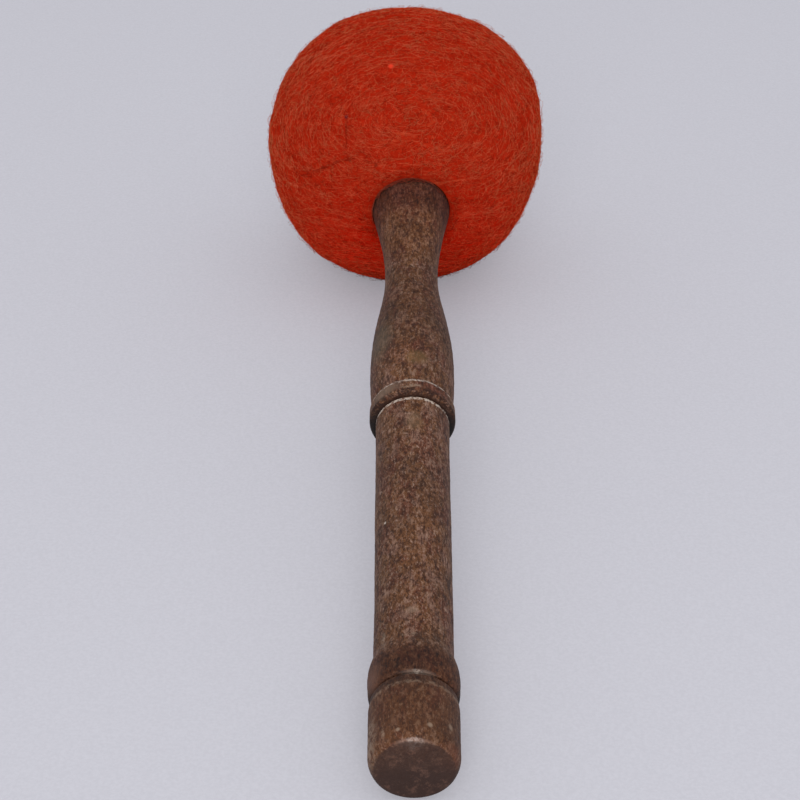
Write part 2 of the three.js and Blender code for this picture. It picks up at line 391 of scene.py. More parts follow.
class Bench:
    """A material and its nodes."""

    def __init__(self, name: str, lie: Lie) -> None:
        """Starts an empty material.

        Args:
            name: The material's name.
            lie: How the mallet lies.
        """
        self.lie = lie
        self.noises: dict[tuple[Specks, Term], Term] = {}
        self.material = bpy.data.materials.new(name)
        self.material.use_nodes = True
        self.tree = self.material.node_tree
        self.tree.nodes.clear()

    def node(self, kind: str, settings: Optional[dict] = None, inputs: Optional[dict] = None,
             output: Union[int, str] = 0) -> Optional[Term]:
        """Adds a node.

        Args:
            kind: Its type.
            settings: Its own settings, which are set first.
            inputs: Values or links by socket name or number.
            output: Name or number of the output wanted.

        Returns:
            That output, or nothing for a node that has none.
        """
        made = self.tree.nodes.new(kind)
        for key, value in (settings or {}).items():
            setattr(made, key, value)
        for key, value in (inputs or {}).items():
            socket = self._socket(made.inputs, key)
            if isinstance(value, Term):
                self.tree.links.new(value.socket, socket)
            elif socket.type == "RGBA" and len(value) == 3:
                socket.default_value = (*value, 1)
            else:
                socket.default_value = value
        return Term(self, self._socket(made.outputs, output)) if made.outputs else None

    @staticmethod
    def _socket(sockets: bpy.types.bpy_prop_collection, key: Union[int, str]) -> bpy.types.NodeSocket:
        """Finds a socket in use by its name or number."""
        named = (socket for socket in sockets if socket.enabled and socket.name == key)
        return sockets[key] if isinstance(key, int) else next(named)

    def place(self) -> Term:
        """Gives the shaded point in mallet axes, in millimetres."""
        here = self.node("ShaderNodeTexCoord", output="Object") - tuple(self.lie.end)
        return self.vector(*(self.dot(here, tuple(axis / MM)) for axis in self.lie.axes))

    def vector(self, right: Number = 0.0, along: Number = 0.0, up: Number = 0.0) -> Term:
        """Joins three numbers into a vector."""
        return self.node("ShaderNodeCombineXYZ", inputs={"X": right, "Y": along, "Z": up})

    def dot(self, first: Term, second: Triple) -> Term:
        """Adds the dot product of two vectors."""
        return self.node("ShaderNodeVectorMath", {"operation": "DOT_PRODUCT"}, {0: first, 1: second},
                         "Value")

    def noise(self, specks: Specks, place: Term) -> Term:
        """Adds a noise, once for each place where it is read.

        Args:
            specks: Its sizes.
            place: Where it is read.

        Returns:
            The noise.
        """
        if (specks, place) not in self.noises:
            inputs = {"Vector": place * specks.stretch + specks.shift, "Scale": 1 / specks.size,
                      "Detail": specks.detail, "Roughness": specks.roughness}
            made = self.node("ShaderNodeTexNoise", {"noise_dimensions": "3D"}, inputs)
            self.noises[specks, place] = made
        return self.noises[specks, place]

    def step(self, value: Term, low: float, high: float) -> Term:
        """Adds a smooth step that is 0 at low and 1 at high."""
        return self.node("ShaderNodeMapRange", {"interpolation_type": "SMOOTHSTEP"},
                         {"Value": value, "From Min": low, "From Max": high})

    def mix(self, share: Number, first: Union[Colour, Term], second: Union[Colour, Term]) -> Term:
        """Mixes two colours, by the share of the second."""
        return self.node("ShaderNodeMix", {"data_type": "RGBA"},
                         {"Factor": share, "A": first, "B": second}, "Result")

    def bump(self, height: Term) -> Term:
        """Adds a bump from a height in millimetres."""
        return self.node("ShaderNodeBump", inputs={"Height": height, "Distance": MM})

    def close(self, **sockets: object) -> bpy.types.Material:
        """Ends the material with a Principled shader.

        Args:
            sockets: Its inputs, by name with _ for a space.

        Returns:
            The material.
        """
        inputs = {name.replace("_", " "): value for name, value in sockets.items()}
        shader = self.node("ShaderNodeBsdfPrincipled", inputs=inputs)
        self.node("ShaderNodeOutputMaterial", inputs={"Surface": shader})
        return self.material


@dataclass(frozen=True)
class Layer:
    """A colour that lies where specks are past an edge: none of it at one value, all at another."""

    specks: Specks
    colour: Colour
    none: float
    full: float
    strength: float

    def over(self, bench: Bench, place: Term, colour: Union[Colour, Term]) -> Term:
        """Lays the layer over a colour."""
        share = bench.step(bench.noise(self.specks, place), self.none, self.full) * self.strength
        return bench.mix(share, colour, self.colour)


class Film(Enum):
    """How a mark lies on the colours under it."""

    FULL = "hides them"
    BROKEN = "hides them in bits"
    # Filters the colours under it; used for real stains and for painted shade.
    STAIN = "filters them"


@dataclass(frozen=True)
class Mark:
    """An ellipsoid where the colour changes, as on a worn edge or in a dirty groove, or where shade or a
    highlight is painted.
    """

    middle: Triple
    reach: Triple
    strength: float
    colour: Colour
    film: Film = Film.FULL
    full_share: float = 0.3

    @classmethod
    def band(cls, station: float, half_width: float, strength: float, colour: Colour,
             film: Film = Film.FULL) -> "Mark":
        """A mark that runs all round the handle."""
        all_round = 1000.0
        return cls((0, station, 0), (all_round, half_width, all_round), strength, colour, film)

    def over(self, bench: Bench, place: Term, colour: Term, bits: Number = 1) -> Term:
        """Lays the mark over a colour.

        Args:
            bench: The material's nodes.
            place: The shaded place.
            colour: The colour under the mark.
            bits: The share of a broken mark that shows.

        Returns:
            The colour with the mark.
        """
        off = (place - self.middle) * tuple(1 / part for part in self.reach)
        far = bench.node("ShaderNodeVectorMath", {"operation": "LENGTH"}, {0: off}, "Value")
        share = bench.step(far, 1, self.full_share) * self.strength
        new = colour * self.colour if self.film is Film.STAIN else self.colour
        return bench.mix(share * bits if self.film is Film.BROKEN else share, colour, new)


SHORT_GRAIN, LONG_GRAIN = (1.0, 0.5, 1.0), (1.0, 1 / 2.6, 1.0)
RED_PATCHES = Specks(5.5, 4, 0.7, 0, SHORT_GRAIN)
GREY_PATCHES = Specks(4.2, 4, 0.7, 37, SHORT_GRAIN)
STRIPES = Specks(1.5, 3, 0.75, 3, LONG_GRAIN)
MOTTLE = Specks(0.7, 3, 0.85, 0, SHORT_GRAIN)
PORES = Specks(0.5, 2, 0.6, 11, LONG_GRAIN)
FLECKS = Specks(1.3, 2, 0.6, 71, (1.0, 0.45, 1.0))
LINES = Specks(0.5, 2, 0.6, 29, (1.0, 0.07, 1.0))
WOOD_CLOUDS = Specks(9, 2, 0.5, 83, (1.0, 0.6, 1.0))
BITS = Specks(1.1, 3, 0.75, 5)
RAGS = Specks(1.2, 3, 0.8, 57)
END_GRAIN = Specks(2.5, 5, 0.85, 91)


@dataclass(frozen=True)
class WoodFinish:
    """Dull, worn wood, speckled with short pores, in red, grey and dark patches."""

    name: str
    ground: Colour
    dark: Colour
    light: Colour
    red: Colour
    grey: Colour
    end_ground: Colour = tint(51, 32, 25)
    marks: tuple[Mark, ...] = ()
    cloud_edge: Pair = (0.36, 0.64)
    cloud_low: float = 0.87
    cloud_rise: float = 0.22
    bit_edge: Pair = (0.40, 0.56)
    ragged_reach: float = 0.8
    end_edge: Pair = (0.45, 0.1)
    end_ragged: float = 0.5
    end_strength: float = 0.8
    dull_edge: Pair = (0.3, 0.7)
    roughness_low: float = 0.62
    roughness_rise: float = 0.12
    mottle_height: float = 0.08
    pore_edge: Pair = (0.43, 0.32)
    pore_depth: float = 0.06

    @property
    def layers(self) -> tuple[Layer, ...]:
        """The colours over the ground, from the lowest."""
        return (Layer(RED_PATCHES, self.red, 0.48, 0.60, 0.8),
                Layer(GREY_PATCHES, self.grey, 0.51, 0.62, 0.9),
                Layer(STRIPES, self.dark, 0.50, 0.38, 0.65), Layer(STRIPES, self.light, 0.52, 0.66, 0.4),
                Layer(MOTTLE, self.dark, 0.51, 0.33, 0.9), Layer(MOTTLE, self.light, 0.52, 0.70, 0.85),
                Layer(PORES, self.dark, *self.pore_edge, 0.6), Layer(FLECKS, self.light, 0.66, 0.74, 0.8),
                Layer(LINES, self.dark, 0.42, 0.30, 0.5))

    @property
    def end_layers(self) -> tuple[Layer, ...]:
        """The colours over the ground of the end face."""
        return (Layer(END_GRAIN, self.grey, 0.50, 0.68, 0.5), Layer(END_GRAIN, self.dark, 0.50, 0.34, 0.3))

    def material(self, lie: Lie) -> bpy.types.Material:
        """Makes the material.

        Args:
            lie: How the mallet lies, which is the way the grain runs.

        Returns:
            The material.
        """
        bench = Bench(self.name, lie)
        place = bench.place()
        colour, end = self.ground, self.end_ground
        for layer in self.layers:
            colour = layer.over(bench, place, colour)
        clouds = bench.step(bench.noise(WOOD_CLOUDS, place), *self.cloud_edge)
        colour = colour * (clouds * self.cloud_rise + self.cloud_low)
        bits = bench.step(bench.noise(BITS, place), *self.bit_edge)
        sway = bench.noise(RAGS, place) * (2 * self.ragged_reach) - self.ragged_reach
        ragged = place + bench.vector(along=sway)
        for mark in self.marks:
            colour = mark.over(bench, ragged if mark.film is Film.BROKEN else place, colour, bits)
        for layer in self.end_layers:
            end = layer.over(bench, place, end)
        station = bench.node("ShaderNodeSeparateXYZ", inputs={0: place}, output="Y")
        at_end = bench.step(station + sway * self.end_ragged, *self.end_edge)
        colour = bench.mix(at_end * self.end_strength, colour, end)
        pores = bench.step(bench.noise(PORES, place), *self.pore_edge)
        height = bench.noise(MOTTLE, place) * self.mottle_height - pores * self.pore_depth
        dull = bench.step(bench.noise(GREY_PATCHES, place), *self.dull_edge)
        return bench.close(Base_Color=colour, Roughness=dull * self.roughness_rise + self.roughness_low,
                           Normal=bench.bump(height), Specular_IOR_Level=0.25)


@dataclass(frozen=True)
class Winding:
    """The way the wool was wound: in ovals round a pole of the head."""

    centre: np.ndarray
    pole: np.ndarray
    width_share: float = 1.9
    turn_length: float = 9.0
    pole_round: float = 1.0

    @property
    def across(self) -> np.ndarray:
        """The ovals' long way, square to the pole."""
        return unit(RIGHT - self.pole * float(RIGHT @ self.pole))

    @property
    def over(self) -> np.ndarray:
        """The ovals' short way."""
        return np.cross(self.pole, self.across)

    def heading(self, towards: np.ndarray) -> np.ndarray:
        """Gives the ways that strands run along the skin, from unit vectors off the head's centre."""
        slope = ((towards @ self.across)[..., None] * self.across / self.width_share ** 2
                 + (towards @ self.over)[..., None] * self.over)
        return unit(np.cross(towards, slope))

    def streak_place(self, bench: Bench, place: Term) -> Term:
        """A shader place whose first axis crosses the winding, while the others follow it.

        Args:
            bench: The material's nodes.
            place: The shaded place.

        Returns:
            The place, of about a millimetre a unit across the winding.
        """
        off = place - tuple(self.centre)
        across = bench.dot(off, tuple(self.across / self.width_share))
        over = bench.dot(off, tuple(self.over))
        level = (across * across + over * over + self.pole_round ** 2) ** 0.5
        return bench.vector(level, across / level * self.turn_length, over / level * self.turn_length)


FINE_STREAKS = Specks(0.7, 3, 0.7, 0, (1.0, 0.8, 0.8))
BROAD_STREAKS = Specks(2.2, 3, 0.65, 19, (1.0, 0.6, 0.6))
ARCS = Specks(1.0, 2, 0.6, 41, (1.0, 0.1, 0.1))
MAT = Specks(0.5, 3, 0.75)
WOOL_CLOUDS = Specks(9, 4, 0.6, 23)
WOOL_SWAY = Specks(9, 2, 0.5)


@dataclass(frozen=True)
class WoolFinish:
    """Felted wool, streaked along its winding."""

    name: str
    ground: Colour
    pale: Colour
    deep: Colour
    pale_share: float = 0.6
    deep_share: float = 0.7
    broad_share: float = 0.4
    arc_share: float = 0.3
    sway_reach: float = 3.0
    roughness: float = 0.95
    sheen: float = 0.2
    sheen_roughness: float = 0.5
    sheen_tint: Colour = (1.0, 0.2, 0.06)
    streak_height: float = 0.15
    mat_height: float = 0.175
    marks: tuple[Mark, ...] = ()

    def material(self, lie: Lie, winding: Winding) -> bpy.types.Material:
        """Makes the material.

        Args:
            lie: How the mallet lies.
            winding: The way the wool is wound.

        Returns:
            The material.
        """
        bench = Bench(self.name, lie)
        place = bench.place()
        sway = bench.vector(bench.noise(WOOL_SWAY, place) * self.sway_reach)
        streaks = winding.streak_place(bench, place) + sway
        colour = self.ground
        for where, layer in (
                (place, Layer(WOOL_CLOUDS, self.deep, 0.56, 0.36, self.deep_share * self.broad_share)),
                (streaks, Layer(BROAD_STREAKS, self.pale, 0.52, 0.70, self.pale_share * self.broad_share)),
                (streaks, Layer(FINE_STREAKS, self.pale, 0.52, 0.72, self.pale_share)),
                (place, Layer(MAT, self.deep, 0.50, 0.34, self.deep_share)),
                (streaks, Layer(ARCS, self.pale, 0.58, 0.70, self.arc_share))):
            colour = layer.over(bench, where, colour)
        for mark in self.marks:
            colour = mark.over(bench, place, colour)
        height = (bench.noise(FINE_STREAKS, streaks) * self.streak_height
                  + bench.noise(MAT, place) * self.mat_height)
        return bench.close(Base_Color=colour, Roughness=self.roughness, Normal=bench.bump(height),
                           Specular_IOR_Level=0.0, Sheen_Weight=self.sheen,
                           Sheen_Roughness=self.sheen_roughness, Sheen_Tint=(*self.sheen_tint, 1))


@dataclass
class Handle:
    """The handle, turned from one piece of wood, with a tenon that is sawn for a wedge."""

    lie: Lie
    knob_radius: float = 10.45
    knob_length: float = 19.8
    knob_round_depth: float = 1.95
    knob_round_length: float = 4.0
    knob_bevel_depth: float = 0.3
    knob_bevel_length: float = 2.4
    knob_groove_depth: float = 1.05
    knob_groove_width: float = 1.0
    end_bead_radius: float = 10.72
    end_bead_rise: float = 5.8
    end_bead_fall: float = 7.8
    grip_radius: float = 9.4
    grip_top_radius: float = 9.65
    grip_length: float = 87.1
    grip_rim_round: float = 0.4
    bead_radius: float = 11.3
    bead_length: float = 5.5
    bead_round: float = 1.0
    bead_groove_depth: float = 0.8
    bead_groove_width: float = 0.4
    notch_depth: float = 1.0
    notch_width: float = 0.4
    swell_radius: float = 11.38
    swell_rise: float = 14.8
    swell_fall: float = 45.6
    waist_radius: float = 7.55
    collar_radius: float = 11.45
    collar_flare: float = 36.0
    collar_round: float = 1.7
    collar_lip: float = 2.4
    tenon_shoulder: float = 2.0
    tenon_bevel: float = 0.8
    kerf_width: float = 2.6
    kerf_depth: float = 16.0
    saw_overrun: float = 5.0
    flats: Waves = Waves(5, 9, 40)
    flat_height: float = 0.05
    tool_marks: Waves = Waves(9, 1.1, 4, 16)
    tool_mark_height: float = 0.02
    knocks: Waves = Waves(12, 2.2, 7)
    knock_edge: float = 1.35
    knock_depth: float = 0.35
    even_radii: Pair = (2.0, 6.0)
    even_rim: float = 3.0
    sides: int = 144
    longest_step: float = 0.62

    def __post_init__(self) -> None:
        """Works out the stations from the knob up, and the radii inside the head."""
        self.crest = self.knob_length + self.knob_groove_width + self.end_bead_rise
        self.grip_end = self.crest + self.end_bead_fall + self.grip_length
        self.bead_start = self.grip_end + self.grip_rim_round + self.bead_groove_width
        self.swell_start = self.bead_start + self.bead_length + self.notch_width
        self.waist = self.swell_start + self.swell_rise + self.swell_fall
        self.collar_rim = self.waist + self.collar_flare
        self.collar_top = self.collar_rim + self.collar_round
        self.neck_radius = self.collar_radius - self.collar_lip
        self.tenon_radius = self.neck_radius - self.tenon_shoulder

    def outline(self, shoulder: float, tenon_end: float) -> np.ndarray:
        """Draws the handle's outline.

        Args:
            shoulder: Station of the tenon's shoulder.
            tenon_end: Station of the tenon's end.

        Returns:
            Rows of radius and station.
        """
        path = Outline()
        path.line(0, 0)
        path.line(self.knob_radius - self.knob_round_depth, 0)
        path.rounding(self.knob_radius, self.knob_round_length, 0.48)
        path.line(self.knob_radius, self.knob_length - self.knob_bevel_length)
        path.line(self.knob_radius - self.knob_bevel_depth, self.knob_length)
        groove = self.knob_radius - self.knob_groove_depth
        path.line(groove, self.knob_length + self.knob_groove_width / 2)
        path.line(groove, self.knob_length + self.knob_groove_width)
        path.rounding(self.end_bead_radius, self.crest, 0.8)
        path.ogee(self.grip_radius, self.crest + self.end_bead_fall, 0.5, 0.25)
        path.ogee(self.grip_top_radius, self.grip_end, 0.6, 0.1)
        path.rounding(self.grip_top_radius - self.grip_rim_round / 2,
                      self.grip_end + self.grip_rim_round, 0.55, True)
        groove = self.grip_top_radius - self.bead_groove_depth
        path.line(groove, self.bead_start - self.bead_groove_width / 2)
        path.line(groove, self.bead_start)
        path.rounding(self.bead_radius, self.bead_start + self.bead_round, 0.6)
        path.line(self.bead_radius, self.bead_start + self.bead_length - self.bead_round)
        notch = self.bead_radius - self.notch_depth
        path.rounding(notch, self.bead_start + self.bead_length, 0.4, True)
        path.line(notch, self.swell_start)
        path.rounding(self.swell_radius, self.swell_start + self.swell_rise, 0.52)
        path.ogee(self.waist_radius, self.waist, 0.5, 0.35)
        path.ogee(self.collar_radius, self.collar_rim, 0.43, 0.05)
        path.rounding((self.collar_radius + self.neck_radius) / 2, self.collar_top, 0.6, True)
        path.line(self.neck_radius, self.collar_top)
        path.line(self.neck_radius, shoulder)
        path.line(self.tenon_radius, shoulder)
        path.line(self.tenon_radius, tenon_end - self.tenon_bevel)
        path.line(self.tenon_radius - self.tenon_bevel, tenon_end)
        path.line(0, tenon_end)
        return path.fine(self.longest_step)

    def _worn(self, shape: Shape) -> Shape:
        """Gives the turned wood its unevenness: faint turning marks, flats and small knocks.

        Args:
            shape: The even shape.

        Returns:
            The worn shape.
        """
        points = shape.points
        out, station = points * (1, 0, 1), points[:, 1]
        change = (self.flats(points * (1, 0.6, 1)) * self.flat_height
                  + self.tool_marks(points * (0, 1, 0)) * self.tool_mark_height
                  - np.clip(self.knocks(points) - self.knock_edge, 0, 1) * self.knock_depth)
        shown = (eased(np.linalg.norm(out, axis=1), *self.even_radii)
                 * eased(self.collar_rim - station, 0, self.even_rim))
        return Shape(points + unit(out) * (change * shown)[:, None], shape.faces, shape.uv)

    def build(self, shoulder: float, tenon_end: float, finish: WoodFinish) -> None:
        """Makes the handle.

        Args:
            shoulder: Station of the tenon's shoulder.
            tenon_end: Station of the tenon's end.
            finish: The handle's wood.
        """
        shape = self._worn(Shape.turned(self.outline(shoulder, tenon_end), self.sides))
        piece = add_piece("turned_handle", shape, self.lie, finish.material(self.lie),
                          ["handle"], sharp_angle=math.radians(28))
        self._saw(piece, tenon_end)

    def _saw(self, piece: bpy.types.Object, tenon_end: float) -> None:
        """Saws the kerf into the tenon.

        Args:
            piece: The handle.
            tenon_end: Station of the tenon's end.
        """
        half = np.array((self.kerf_width, self.kerf_depth + self.saw_overrun,
                         2 * (self.tenon_radius + self.saw_overrun))) / 2
        corners = np.array([(x, y, z) for x in (-1, 1) for y in (-1, 1) for z in (-1, 1)]) * half
        corners[:, 1] += tenon_end - self.kerf_depth + half[1]
        faces = [(0, 1, 3, 2), (4, 6, 7, 5), (0, 4, 5, 1), (2, 3, 7, 6), (0, 2, 6, 4), (1, 5, 7, 3)]
        mesh = bpy.data.meshes.new("saw")
        mesh.from_pydata(self.lie.placed(corners).tolist(), [], faces)
        saw = bpy.data.objects.new("saw", mesh)
        bpy.context.scene.collection.objects.link(saw)
        cut = piece.modifiers.new("kerf", "BOOLEAN")
        cut.operation = "DIFFERENCE"
        cut.object = saw
        cut.solver = "EXACT"
        seen = bpy.context.evaluated_depsgraph_get()
        sawn = bpy.data.meshes.new_from_object(piece.evaluated_get(seen))
        piece.modifiers.clear()
        piece.data = sawn
        bpy.data.objects.remove(saw)


@dataclass(frozen=True)
class Ball:
    """A squarish ball of revolution round the mallet's axis. A squareness of 2 is an ellipse."""

    radius: float
    half_length: float
    squareness: float

    def inside(self, thickness: float) -> "Ball":
        """The ball that lies a wall's thickness further in."""
        return Ball(self.radius - thickness, self.half_length - thickness, self.squareness)

    def depth(self, radius: float) -> float:
        """How far the skin lies from the middle plane at a radius."""
        reach = (radius / self.radius) ** self.squareness
        return self.half_length * (1 - reach) ** (1 / self.squareness)

    def reach(self, towards: np.ndarray) -> np.ndarray:
        """How far the skin lies from the centre.

        Args:
            towards: Unit vectors from the centre, in mallet axes.

        Returns:
            The distances.
        """
        out = np.hypot(towards[..., 0], towards[..., 2]) / self.radius
        along = np.abs(towards[..., 1]) / self.half_length
        return (out ** self.squareness + along ** self.squareness) ** (-1 / self.squareness)


@dataclass(frozen=True)
class Lump:
    """A lump or hollow that the winding left, at a turn in degrees round a ring on the head."""

    turn: float
    height_share: float
    spread: float
    ring_tilt: float = math.radians(38)

    def share(self, towards: np.ndarray) -> np.ndarray:
        """How high the lump stands, as shares of the radius.

        Args:
            towards: Unit vectors from the head's centre.

        Returns:
            The shares.
        """
        run, rise = math.cos(math.radians(self.turn)), math.sin(math.radians(self.turn))
        middle = np.array((run, rise * math.sin(self.ring_tilt), rise * math.cos(self.ring_tilt)))
        return self.height_share * np.exp((towards @ middle - 1) / self.spread)


@dataclass
class Head:
    """The head: a wedged core, padding tied round the neck, plain wool, and the dyed wool that shows."""

    lie: Lie
    handle: Handle
    radius: float = 43.2
    half_length: float = 40.6
    sideways: float = 1.6
    cover_thickness: float = 8.0
    winding_thickness: float = 8.0
    padding_thickness: float = 6.0
    sleeve_thickness: float = 2.0
    sleeve_length: float = 3.0
    tie_thickness: float = 1.4
    seat_gap: float = 0.3
    squareness: float = 2.08
    core_squareness: float = 2.6
    broad_lump_shares: tuple[float, ...] = (-0.023, 0.038, -0.038, 0.009, -0.023, 0.027, 0.005, 0.009)
    broad_spread: float = 0.16
    small_lumps: tuple[Lump, ...] = (
        Lump(25, 0.016, 0.03), Lump(69, -0.018, 0.04), Lump(179, 0.014, 0.02),
        Lump(203, -0.009, 0.02), Lump(333, -0.011, 0.02))
    pole: Triple = (0.03, -0.754, 0.656)
    ridges: Waves = Waves(31, 0.045, 0.16, 24)
    ridge_height: float = 0.1
    ridge_drift: float = 0.16
    pole_round: float = 0.01
    felt: Waves = Waves(33, 6, 24)
    felt_height: float = 0.12
    strand_depth: float = 0.12
    lip_gap: float = 0.08
    lip_slope: float = 0.1
    lip_round: float = 0.25
    lip_depth: float = 0.7
    yarn_pitch: float = 2.2
    yarn_depth: float = 0.5
    pleat_count: int = 14
    pleat_depth: float = 0.4
    pleat_reach: Pair = (0.55, 0.95)
    batting: Waves = Waves(61, 3, 12)
    batting_height: float = 0.1

    def __post_init__(self) -> None:
        """Works out the layers from the skin to the core, and where they seat on the neck.

        The collar's rim meets the ball of the wool, and the skin's middle sits a little to the left.
        """
        gap, neck, step = self.seat_gap, self.handle.neck_radius, 360 / len(self.broad_lump_shares)
        self.ball = Ball(self.radius, self.half_length, self.squareness)
        station = self.handle.collar_rim + self.ball.depth(self.handle.collar_radius)
        self.centre = np.array((0, station, 0))
        self.middle = self.centre - RIGHT * self.sideways
        self.cover_hollow = self.ball.inside(self.cover_thickness)
        self.winding = self.cover_hollow.inside(gap)
        self.winding_hollow = self.winding.inside(self.winding_thickness)
        self.padding = self.winding_hollow.inside(gap)
        self.padding_hollow = replace(self.padding.inside(self.padding_thickness),
                                      squareness=self.core_squareness)
        core_face_depth = self.padding_hollow.inside(gap).depth(neck)
        self.shoulder = station - core_face_depth - gap
        self.tenon_end = station + core_face_depth
        self.sleeve_end = station - self.padding.half_length - self.sleeve_length
        self.neck_hole = neck + gap
        self.sleeve_radius = self.neck_hole + self.sleeve_thickness
        self.way = Winding(self.middle, unit(np.array(self.pole)))
        broad = (Lump(index * step, share, self.broad_spread)
                 for index, share in enumerate(self.broad_lump_shares))
        self.lumps = (*broad, *self.small_lumps)

    def skin(self, towards: np.ndarray) -> np.ndarray:
        """The outside of the wool, with its lumps, felted unevenness and wound ridges.

        Args:
            towards: Unit vectors from the head's centre.

        Returns:
            Places in mallet axes.
        """
        lumps = np.zeros(towards.shape[:-1])
        for lump in self.lumps:
            lumps += lump.share(towards)
        way = self.way
        across, over = towards @ way.across / way.width_share, towards @ way.over
        level = np.sqrt(across ** 2 + over ** 2 + self.pole_round ** 2)
        drift = self.ridge_drift / level
        ridges = self.ridges(np.stack((level, across * drift, over * drift), axis=-1))
        reach = (self.ball.reach(towards) * (1 + lumps) + ridges * self.ridge_height
                 + self.felt(towards * self.radius) * self.felt_height - self.strand_depth)
        return self.middle + towards * reach[..., None]

    def speck(self, towards: Triple, reach: float, strength: float, colour: Colour) -> Mark:
        """A speck of another colour in the wool, some way from the head's centre."""
        place = self.skin(unit(np.array(towards)))
        return Mark(tuple(place.tolist()), (reach, reach, reach), strength, colour)

    def on_floor(self, points: np.ndarray, clearance: float = 0.0) -> np.ndarray:
        """Presses points flat where they would reach below the floor.

        Args:
            points: Places in mallet axes.
            clearance: How far above the floor they stay.

        Returns:
            Places in mallet axes.
        """
        upright = self.lie.axes[:, 2]
        heights = self.lie.end[2] / MM + points @ upright
        return points - np.minimum(heights - clearance, 0)[..., None] * upright

    def _shell(self, skin: Callable[[np.ndarray], np.ndarray], middle: np.ndarray, mouth_radius: float,
               wall: Sequence[Pair], hollow: Ball, rows: int, sides: int) -> Shape:
        """Makes a hollow ball that is open at the neck.

        Args:
            skin: Gives the outside's places from unit vectors.
            middle: Where those vectors start.
            mouth_radius: The outside's radius where it ends at the neck.
            wall: Corners of radius and station between the outside and the inside.
            hollow: The space inside.
            rows: Rings of the outside.
            sides: Points of a ring.

        Returns:
            The shape.
        """
        mouth_tries, lining_rows = 12, 20
        along = np.array((0.0, 1.0, 0.0))
        circle = outward(turns_of(sides))
        mouth = circle * mouth_radius + along * self.handle.collar_rim
        for _ in range(mouth_tries):
            mouth[:, 1] = skin(unit(mouth - middle))[:, 1]
        towards = unit(mouth - middle)
        sideways = unit(towards * (1, 0, 1))
        turn = ((np.arange(rows) + 1) / rows)[:, None] * np.arccos(towards[:, 1])
        rings = skin(np.sin(turn)[..., None] * sideways + np.cos(turn)[..., None] * along)
        walls = [circle * radius + along * station for radius, station in wall]
        neck_radius = wall[-1][0]
        far = math.pi - math.atan2(neck_radius, hollow.depth(neck_radius))
        turn = far * (1 - np.arange(lining_rows) / lining_rows)[:, None, None]
        ways = np.sin(turn) * circle + np.cos(turn) * along
        lining = self.centre + ways * hollow.reach(ways)[..., None]
        return Shape.of_rings(np.concatenate((rings, walls, lining)), skin(along),
                              self.centre + along * hollow.half_length)

    def build_cover(self, finish: WoolFinish) -> None:
        """Makes the dyed wool that shows.

        Args:
            finish: Its wool.
        """
        lip = self.handle.collar_radius + self.lip_gap
        seat = self.handle.collar_top + self.seat_gap
        wall = [(lip, self.handle.collar_rim + self.lip_depth), (lip + self.lip_slope, seat),
                (self.neck_hole, seat)]
        shape = self._shell(self.skin, self.middle, lip + self.lip_round, wall, self.cover_hollow,
                            rows=200, sides=400)
        shape.points = self.on_floor(shape.points)
        cover = add_piece("dyed_wool_cover", shape, self.lie, finish.material(self.lie, self.way),
                          ["wool_cover"])

    def build_winding(self, finish: WoolFinish) -> None:
        """Makes the plain wool that is wound over the padding, in crossing bands of yarn.

        Args:
            finish: Its wool.
        """
        ball = self.winding
        waves_a_unit = ball.radius * math.pi / self.yarn_pitch
        bands = unit(np.array(((0.2, 0.9, 0.3), (0.9, 0.3, -0.4), (-0.5, 0.4, 0.8))))
        fields = [Waves(50 + index, 0.5, 2.2, 12) for index in range(len(bands))]

        def wound(towards: np.ndarray) -> np.ndarray:
            """Gives places on the wound yarn.

            Args:
                towards: Unit vectors from the head's centre.

            Returns:
                Places in mallet axes.
            """
            rank = np.stack([one(towards) for one in fields]).argmax(axis=0)
            heights = np.stack([np.abs(np.cos(towards @ band * waves_a_unit)) for band in bands])
            height = np.take_along_axis(heights, rank[None], axis=0)[0]
            return self.centre + towards * (ball.reach(towards) - self.yarn_depth * (1 - height))[..., None]

        pocket = self.sleeve_radius + 2 * self.seat_gap + self.tie_thickness
        stop = self.sleeve_end - self.seat_gap
        shape = self._shell(wound, self.centre, self.neck_hole, [(self.neck_hole, stop), (pocket, stop)],
                            self.winding_hollow, rows=150, sides=200)
        piece = add_piece("plain_wool_winding", shape, self.lie, finish.material(self.lie, self.way),
                          ["inner_winding"])

    def build_padding(self, finish: WoolFinish) -> None:
        """Makes the felt padding, drawn in to a pleated sleeve on the neck.

        Args:
            finish: Its felt.
        """
        ball = self.padding

        def padded(towards: np.ndarray) -> np.ndarray:
            """Gives places on the felt.

            Args:
                towards: Unit vectors from the head's centre.

            Returns:
                Places in mallet axes.
            """
            around = np.arctan2(towards[..., 2], towards[..., 0])
            drawn_in = eased(-towards[..., 1], *self.pleat_reach)
            pleats = np.abs(np.sin(around * self.pleat_count / 2)) * drawn_in
            change = self.batting(towards * ball.radius) * self.batting_height - pleats * self.pleat_depth
            return self.centre + towards * (ball.reach(towards) + change)[..., None]

        wall = [(self.sleeve_radius, self.sleeve_end), (self.neck_hole, self.sleeve_end)]
        shape = self._shell(padded, self.centre, self.sleeve_radius, wall, self.padding_hollow,
                            rows=90, sides=168)
        piece = add_piece("felt_padding", shape, self.lie, finish.material(self.lie, self.way),
                          ["core_padding"])

